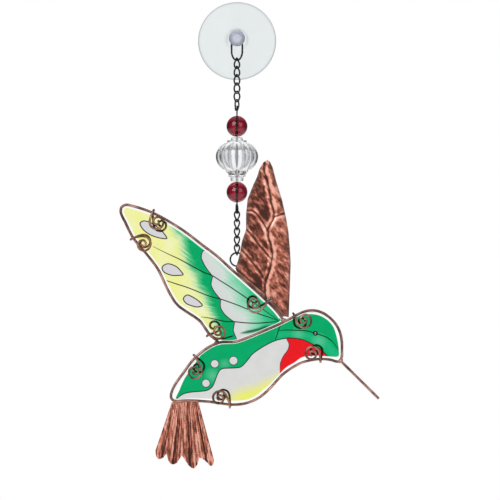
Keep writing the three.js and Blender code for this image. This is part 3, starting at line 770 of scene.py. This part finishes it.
# Colours of the wires' patina, from its dark hollows to where it is rubbed bright
PINK_PATINA = ((0.32, "#4B3733"), (0.48, "#7C5A51"), (0.6, "#A27A6F"), (0.75, "#C89D90"))
GOLDEN_PATINA = ((0.32, "#3E2920"), (0.48, "#70503D"), (0.6, "#A0785D"), (0.75, "#D2A78A"))
PIN_WAIST = 0.6  # the pin is drawn thinner inside the beads, whose glass widens it
GOLDEN_CLIPS = ("wing_clip_1", "wing_clip_2", "wing_clip_3", "body_clip_2")  # browner than the rest


def wires():
    """Every wire as round wire along the CAD wire's middle line."""
    dark = gunmetal()
    copper = copper_wire("antiqued_copper_wire", PINK_PATINA)
    golden = copper_wire("antiqued_golden_wire", GOLDEN_PATINA)
    wire_piece("hanging_loop", LOOP_WIRE, True, dark, "dark_wire", unevenness=0.08)
    for chain in ("upper", "lower"):
        for i in range(LINKS):
            wire_piece(f"{chain}_chain_link_{i + 1}", LINK_WIRE, True, dark, "dark_wire")
    pin = wire_piece("bead_pin", PIN_WIRE, False, dark, "dark_wire")
    low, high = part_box("red_bead_lower")[0].z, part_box("red_bead_upper")[1].z
    # The pin inside the beads is painted pale and half matt: painted light, as the glass shows it
    pin_painted_light = np.array([float(low < v.co.z < high) for v in pin.data.vertices])
    store(pin.data, bare=pin_painted_light)
    axis = middle("crystal_bead")
    for corner, share in zip(pin.data.vertices, pin_painted_light):
        keep = 1 - (1 - PIN_WAIST) * share
        corner.co.x = axis.x + (corner.co.x - axis.x) * keep
        corner.co.y = axis.y + (corner.co.y - axis.y) * keep
    wire_piece("hanging_ring", RING_WIRE, True, dark, "dark_wire", unevenness=0.08)
    wire_piece("wing_frame", FRAME_WIRE, False, copper, "copper_wire", unevenness=0.08)
    wire_piece("body_frame", FRAME_WIRE, True, copper, "copper_wire", unevenness=0.08)
    wire_piece("beak", BEAK_WIRE, False, copper, "copper_wire", steps=24, unevenness=0.08)
    for panel_name in ("wing", "body"):
        for i in range(CLIPS):
            name = f"{panel_name}_clip_{i + 1}"
            worn = golden if name in GOLDEN_CLIPS else copper
            wire_piece(name, CLIP_WIRE, False, worn, "copper_wire", unevenness=0.1)


SOLDER = 1.15  # radius of a blob
SOLDER_SHAPE = (1.35, 0.85, 0.9)  # drawn out along the body's wire


def solder_joints():
    """A small uneven blob of solder where a wire's end stands on the body's wire."""
    copper = bpy.data.materials["antiqued_copper_wire"]
    body = wire_path("body_frame", FRAME_WIRE)
    wing = wire_path("wing_frame", FRAME_WIRE)
    beak = wire_path("beak", BEAK_WIRE)

    def gaps(end):
        return np.linalg.norm(body - end, axis=1)

    foot = min(beak[0], beak[-1], key=lambda end: gaps(end).min())
    for name, end in (("wing_front", wing[0]), ("wing_rear", wing[-1]), ("beak", foot)):
        nearest = gaps(end).argmin()
        run = body[(nearest + 1) % len(body)] - body[nearest - 1]
        solid = bmesh.new()
        bmesh.ops.create_icosphere(solid, subdivisions=3, radius=SOLDER * MM)
        bmesh.ops.scale(solid, verts=solid.verts, vec=SOLDER_SHAPE)
        for corner in solid.verts:
            corner.co *= 1 + 0.12 * noise.noise(corner.co * 900 + Vector(end))
        turn = Matrix.Rotation(-math.atan2(run[2], run[0]), 3, "Y")
        bmesh.ops.rotate(solid, verts=solid.verts, cent=(0, 0, 0), matrix=turn)
        bmesh.ops.translate(solid, verts=solid.verts, vec=Vector((end + body[nearest]) / 2) * MM)
        piece(f"{name}_solder", meshed(f"{name}_solder", solid), copper, "copper_wire")


# Widths of the spots in the finishes, in millimetres
PLATING_SPOT = 1.111
PATINA_PATCH = 7.692
WIRE_DENT = 1.111  # plier marks are finer, and are drawn as coarse as they need to show
VINYL_CLOUD = 16.67
RUBY_CLOUD = 8.333
WASHED_PATCH = 9.091  # where the yellow paint is thin
PAINT_CLOUD = 7.143


def to_shader(tree, shader, **outputs):
    """Links nodes' outputs to the shader's sockets."""
    for socket, output in outputs.items():
        tree.links.new(output, shader.inputs[socket.replace("_", " ")])


def graded(tree, attribute, start, end, low=0.0, high=1.0):
    """A value that goes from low to high as the corners' stored number goes from start to end."""
    number = add(tree, "Attribute", attribute_name=attribute)
    return add(tree, "MapRange", {
        "Value": number.outputs["Fac"], "From Min": start, "From Max": end, "To Min": low,
        "To Max": high}).outputs["Result"]


def gunmetal():
    """Gunmetal-plated steel wire: near black with a soft sheen, and painted pale inside the beads
    as painted light.
    """
    material, tree, shader = finish("gunmetal_plated_steel")
    place = add(tree, "TexCoord")
    wear = add(tree, "TexNoise", {
        "Vector": place.outputs["Object"], "Scale": 1 / (PLATING_SPOT * MM), "Detail": 4.0})
    tint = add(tree, "ValToRGB", {"Fac": wear.outputs["Fac"]},
               stops=((0.35, "#1B1C1F"), (0.75, "#46474B")))
    # Inside the beads the pin is painted pale: painted light
    plated = coated(tree, tint.outputs["Color"], [("bare", 0, 1, colour("#DDD6D6"))])
    gloss = add(tree, "MapRange", {"Value": wear.outputs["Fac"], "To Min": 0.28, "To Max": 0.5})
    to_shader(
        tree, shader, Base_Color=plated, Metallic=graded(tree, "bare", 0, 1, 1.0, 0.1),
        Roughness=gloss.outputs["Result"])
    return material


def copper_wire(name, patina):
    """Copper wire with an antique brown patina, rubbed bright where it was handled."""
    material, tree, shader = finish(name, Metallic=0.85)
    place = add(tree, "TexCoord")
    patches = add(tree, "TexNoise", {
        "Vector": place.outputs["Object"], "Scale": 1 / (PATINA_PATCH * MM), "Detail": 5.0,
        "Roughness": 0.6})
    tint = add(tree, "ValToRGB", {"Fac": patches.outputs["Fac"]}, stops=patina)
    gloss = add(tree, "MapRange", {"Value": patches.outputs["Fac"], "To Min": 0.55, "To Max": 0.3})
    dents = add(tree, "TexNoise", {
        "Vector": place.outputs["Object"], "Scale": 1 / (WIRE_DENT * MM), "Detail": 2.0})
    relief = add(tree, "Bump", {
        "Height": dents.outputs["Fac"], "Strength": 0.2, "Distance": 0.1 * MM})
    to_shader(
        tree, shader, Base_Color=tint.outputs["Color"], Roughness=gloss.outputs["Result"],
        Normal=relief.outputs["Normal"])
    return material


def embossed_copper(name, turn, patch, barb):
    """Thin copper sheet, pressed and rubbed: bright pink on the high parts, brown patina below.

    Its patches and the feathers' barbs have a size across and along in millimetres, and lie at an
    angle about Y. Real barbs are scratched finer, and are drawn as coarse as they need to show.
    """
    material, tree, shader = finish(name, Metallic=0.75)
    place = add(tree, "TexCoord")
    # Stored tone; on the rear wing it holds a painted shadow as well
    height = add(tree, "Attribute", attribute_name="height")
    swings = []
    for across, along, detail, swing in ((*patch, 6.0, 0.75), (*barb, 2.0, 0.3)):
        run = add(tree, "Mapping", {
            "Vector": place.outputs["Object"], "Rotation": (0, turn, 0),
            "Scale": (across * MM, across * MM, along * MM)}, vector_type="TEXTURE")
        spots = add(tree, "TexNoise", {
            "Vector": run.outputs["Vector"], "Scale": 1.0, "Detail": detail, "Roughness": 0.62})
        swings.append(add(tree, "MapRange", {
            "Value": spots.outputs["Fac"], "From Min": 0.25, "From Max": 0.75,
            "To Min": -swing, "To Max": swing}).outputs["Result"])
    worn = add(tree, "Math", {0: swings[0], 1: swings[1]}, operation="ADD")
    level = add(tree, "Math", {0: height.outputs["Fac"], 1: worn.outputs["Value"]}, operation="ADD")
    tint = add(tree, "ValToRGB", {"Fac": level.outputs["Value"]}, stops=(
        (0.0, "#43241C"), (0.25, "#6B3A2E"), (0.5, "#945645"), (0.75, "#C1745F"), (1.0, "#E4AA97")))
    rim, cut = graded(tree, "edge", 0.1, 2.4, 0.4), graded(tree, "groove", 0.16, 0.68, 0.1)
    aged = add(tree, "Mix", {
        "Factor": rim, "A": colour("#5C4A46"), "B": tint.outputs["Color"]}, data_type="RGBA")
    stained = add(tree, "Mix", {
        "Factor": cut, "A": colour("#2A2021"), "B": aged.outputs["Result"]}, data_type="RGBA")
    gloss = add(tree, "MapRange", {"Value": level.outputs["Value"], "To Min": 0.65, "To Max": 0.38})
    relief = add(tree, "Bump", {
        "Height": worn.outputs["Value"], "Strength": 0.5, "Distance": 0.2 * MM})
    to_shader(
        tree, shader, Base_Color=stained.outputs["Result"], Roughness=gloss.outputs["Result"],
        Normal=relief.outputs["Normal"])
    return material


def clear_vinyl():
    """Clear soft PVC: a thin skirt with a matt bloom and a rim of painted shade, and a thick head,
    cloudy and faintly blue.
    """
    material, tree, shader = finish("clear_moulded_vinyl", IOR=1.2)
    place = add(tree, "TexCoord")
    cloud = add(tree, "TexNoise", {
        "Vector": place.outputs["Object"], "Scale": 1 / (VINYL_CLOUD * MM), "Detail": 2.0})
    tint = add(tree, "ValToRGB", {"Fac": cloud.outputs["Fac"]},
               stops=((0.3, "#E3E8E9"), (0.7, "#E8EDEE")))
    body = coated(tree, tint.outputs["Color"], [
        # the rim's darker grey is painted shade
        ("head", 0, 1, colour("#A4A8B5")), ("rim", 0, 1, colour("#B4B9BB"))])
    to_shader(
        tree, shader, Base_Color=body, Roughness=graded(tree, "head", 0, 1, 0.35, 0.14),
        Transmission_Weight=graded(tree, "head", 0, 1, 1.0, 0.4))
    return material


FROSTED = 0.6  # roughness of a drilled bore's ground wall


def ruby_glass():
    """Pressed ruby glass, fire-polished: deep red right through."""
    material, tree, shader = finish("ruby_pressed_glass", IOR=1.4, Transmission_Weight=1.0)
    place = add(tree, "TexCoord")
    cloud = add(tree, "TexNoise", {
        "Vector": place.outputs["Object"], "Scale": 1 / (RUBY_CLOUD * MM), "Detail": 2.0})
    tint = add(tree, "ValToRGB", {"Fac": cloud.outputs["Fac"]},
               stops=((0.3, "#7E1426"), (0.7, "#932034")))
    to_shader(
        tree, shader, Base_Color=tint.outputs["Color"],
        Roughness=graded(tree, "bore", 0, 1, 0.03, FROSTED))
    return material


def clear_glass():
    """Pressed clear glass, fire-polished: bright lobes, and furrows darkened with painted shade."""
    material, tree, shader = finish("clear_pressed_glass", IOR=1.38, Transmission_Weight=1.0)
    # The furrows are darkened with painted shade
    painted_furrow_shade = add(tree, "Attribute", attribute_name="furrow")
    tint = add(tree, "ValToRGB", {"Fac": painted_furrow_shade.outputs["Fac"]}, stops=(
        (0.0, "#F4F6F7"), (0.25, "#E2E5E7"), (0.55, "#8F9498"), (1.0, "#262B2F")))
    to_shader(
        tree, shader, Base_Color=tint.outputs["Color"],
        Roughness=graded(tree, "bore", 0, 1, 0.01, FROSTED))
    return material


def coated(tree, paint, coats):
    """Lays coats over a paint. A coat covers as its attribute goes from one value to another."""
    for attribute, bare, full, coat in coats:
        cover = graded(tree, attribute, bare, full)
        paint = add(tree, "Mix", {
            "Factor": cover, "A": paint, "B": coat}, data_type="RGBA").outputs["Result"]
    return paint


def painted_glass(name):
    """Glass with a translucent baked paint, which glows with the light behind it."""
    return finish(name, IOR=1.2, Transmission_Weight=1.0)


def fired(tree, shader, paint):
    """Lays the ink over the paint and leaves a bare glossy margin of glass."""
    inked = add(tree, "Mix", {
        "Factor": 1.0, "A": paint, "B": colour("#1E241E")}, data_type="RGBA", blend_type="MULTIPLY")
    lined = coated(tree, paint, [("ink", 0.1, -0.08, inked.outputs["Result"])])
    framed = coated(tree, lined, [("painted", 0.12, -0.12, colour("#FFFFFF"))])
    gloss = graded(tree, "painted", -0.12, 0.12, 0.02, 0.22)
    to_shader(tree, shader, Base_Color=framed, Roughness=gloss)


def wing_paint():
    """Wing: yellow outer part brushed into green, pale cells that fade to green at the root, and
    painted shade above the seam.
    """
    material, tree, shader = painted_glass("painted_glass_wing")
    reach = add(tree, "Attribute", attribute_name="reach")
    bearing = add(tree, "Attribute", attribute_name="bearing")
    fan = add(tree, "CombineXYZ", {"X": reach.outputs["Fac"], "Y": bearing.outputs["Fac"]})
    # A brush mark is about 11 mm long and 0.9 degrees wide, as seen from the wing's root
    stretch = add(tree, "Mapping", {"Vector": fan.outputs["Vector"], "Scale": (0.09, 1.1, 1)})
    bristles = add(tree, "TexNoise", {
        "Vector": stretch.outputs["Vector"], "Scale": 1.0, "Detail": 4.0, "Roughness": 0.6})
    streak = add(tree, "MapRange", {
        "Value": bristles.outputs["Fac"], "From Min": 0.25, "From Max": 0.75, "To Min": -2.2,
        "To Max": 2.2})
    brushed = {}
    for attribute, start, end in (("flush", -3.5, 9), ("scallop", 0, 24)):
        number = add(tree, "Attribute", attribute_name=attribute)
        moved = add(
            tree, "Math", {0: number.outputs["Fac"], 1: streak.outputs["Result"]},
            operation="ADD")
        brushed[attribute] = add(tree, "MapRange", {
            "Value": moved.outputs["Value"], "From Min": start, "From Max": end}).outputs["Result"]
    outer = add(tree, "ValToRGB", {"Fac": brushed["flush"]}, stops=(
        (0.0, "#00A866"), (0.2, "#62C98C"), (0.36, "#C4E3AC"), (0.56, "#EAF19C"), (1.0, "#F1F298")))
    cells = add(tree, "ValToRGB", {"Fac": brushed["scallop"]}, stops=(
        (0.0, "#D8D7D7"), (0.25, "#D2DED8"), (0.48, "#8FD8B5"), (0.72, "#3AC389"),
        (1.0, "#08AC6C")))
    place = add(tree, "TexCoord")
    thin = add(tree, "TexNoise", {
        "Vector": place.outputs["Object"], "Scale": 1 / (WASHED_PATCH * MM), "Detail": 2.0})
    washed = add(tree, "MapRange", {
        "Value": thin.outputs["Fac"], "From Min": 0.45, "From Max": 0.7, "To Max": 0.55})
    pale = add(tree, "Mix", {
        "Factor": washed.outputs["Result"], "A": outer.outputs["Color"], "B": colour("#F4F6D8")},
        data_type="RGBA")
    fired(tree, shader, coated(tree, outer.outputs["Color"], [
        ("flush", -1, 3, pale.outputs["Result"]),
        ("scallop", -0.1, 0.1, cells.outputs["Color"]),
        ("teardrop", -0.1, 0.1, colour("#D8D6DA")),
        # painted shade: the dark band above the seam
        ("shade", 0.6, -0.4, colour("#0A6A48"))]))
    return material


def body_paint():
    """Body: green mantle and head with painted highlights, red throat, pale belly flushed yellow
    below.
    """
    material, tree, shader = painted_glass("painted_glass_body")
    place = add(tree, "TexCoord")
    cloud = add(tree, "TexNoise", {
        "Vector": place.outputs["Object"], "Scale": 1 / (PAINT_CLOUD * MM), "Detail": 4.0})
    green = add(tree, "ValToRGB", {"Fac": cloud.outputs["Fac"]},
                stops=((0.3, "#00A564"), (0.7, "#02AE6C")))
    pale = add(tree, "ValToRGB", {"Fac": cloud.outputs["Fac"]},
               stops=((0.3, "#D6D6D5"), (0.7, "#DDDDDC")))
    head = coated(tree, green.outputs["Color"], [
        # painted highlights: the band under the brow, and the glints
        ("cheek", 0, 2.5, colour("#1CB87A")), ("glint", -2.5, 3.5, colour("#5CC99A"))])
    fired(tree, shader, coated(tree, pale.outputs["Color"], [
        ("belly", -1.5, 5, colour("#ECEE78")),
        ("throat", -0.12, 0.12, colour("#EA1A22")),
        ("mantle", -0.12, 0.12, head),
        ("dot", -0.1, 0.1, colour("#D9D8D9")),
        ("pupil", -0.1, 0.1, colour("#C9E6D6"))]))
    return material


FLOOR_RADIUS = 2.9
FLOOR_HEIGHT = -0.62
FLAGS = (0.24, 0.87)  # where a dark flag begins and is full, as the sideways share of a direction
LAMPS = (  # place and size in metres, power in watts
    ("key", (-0.7, -1.0, 0.55), 0.9, 14),
    ("fill", (0.85, -0.9, 0.3), 0.8, 5),
    ("rear", (0.3, 1.2, 0.5), 0.6, 10),
    ("overhead", (0, -0.2, 1.6), 2.0, 40),
)
LAMPS_AIM = Vector((0, 0, -0.12))


def studio():
    """Pale floor well below, white surroundings with dark flags at the sides, and soft lamps."""
    scene = bpy.context.scene
    scene.view_settings.view_transform = "Standard"
    camera = bpy.data.cameras.new("camera")
    camera.lens = CAMERA_LENS
    camera.sensor_width = 36
    seen_from = bpy.data.objects.new("camera", camera)
    seen_from.location = CAMERA_PLACE
    seen_from.rotation_euler = (math.pi / 2, 0, 0)
    scene.collection.objects.link(seen_from)
    scene.camera = seen_from

    floor = bmesh.new()
    bmesh.ops.create_circle(floor, cap_ends=True, radius=FLOOR_RADIUS, segments=96)
    bmesh.ops.translate(floor, verts=floor.verts, vec=(0, 0, FLOOR_HEIGHT))
    mesh = bpy.data.meshes.new("floor")
    floor.to_mesh(mesh)
    floor.free()
    ground = bpy.data.objects.new("floor", mesh)
    scene.collection.objects.link(ground)
    material, _, _ = finish("pale_matt_floor", Roughness=0.8, Base_Color=colour("#F1F1EF"))
    mesh.materials.append(material)

    world = bpy.data.worlds.new("surroundings")
    world.use_nodes = True
    scene.world = world
    tree = world.node_tree
    sky = tree.nodes["Background"]
    place = add(tree, "TexCoord")
    parts = add(tree, "SeparateXYZ", {"Vector": place.outputs["Generated"]})
    aside = add(tree, "Math", {0: parts.outputs["X"]}, operation="ABSOLUTE")
    flags = add(tree, "MapRange", {
        "Value": aside.outputs["Value"], "From Min": FLAGS[0], "From Max": FLAGS[1],
        "To Min": 1.0, "To Max": 0.04})
    # The camera sees plain white, glass sees white with flags, and the rest half of that
    path = add(tree, "LightPath")
    through = add(tree, "Math", {
        0: flags.outputs["Result"], 1: path.outputs["Is Transmission Ray"]}, operation="MULTIPLY")
    room = add(tree, "Math", {0: flags.outputs["Result"], 1: 0.5}, operation="MULTIPLY")
    lit = add(tree, "Math", {
        0: through.outputs["Value"], 1: room.outputs["Value"]}, operation="MAXIMUM")
    seen = add(tree, "Math", {
        0: lit.outputs["Value"], 1: path.outputs["Is Camera Ray"]}, operation="MAXIMUM")
    tree.links.new(seen.outputs["Value"], sky.inputs["Strength"])
    sky.inputs["Color"].default_value = (1, 1, 1, 1)

    for name, location, size, power in LAMPS:
        lamp = bpy.data.lights.new(name, "AREA")
        lamp.size = size
        lamp.energy = power
        held = bpy.data.objects.new(name, lamp)
        held.visible_glossy = name in ("key", "fill")
        held.visible_transmission = False
        held.location = location
        held.rotation_euler = (Vector(location) - LAMPS_AIM).to_track_quat("Z", "Y").to_euler()
        scene.collection.objects.link(held)


studio()
wires()
solder_joints()
wing_panel()
body_panel()
rear_wing()
tail()
red_beads()
crystal_bead()
suction_cup()
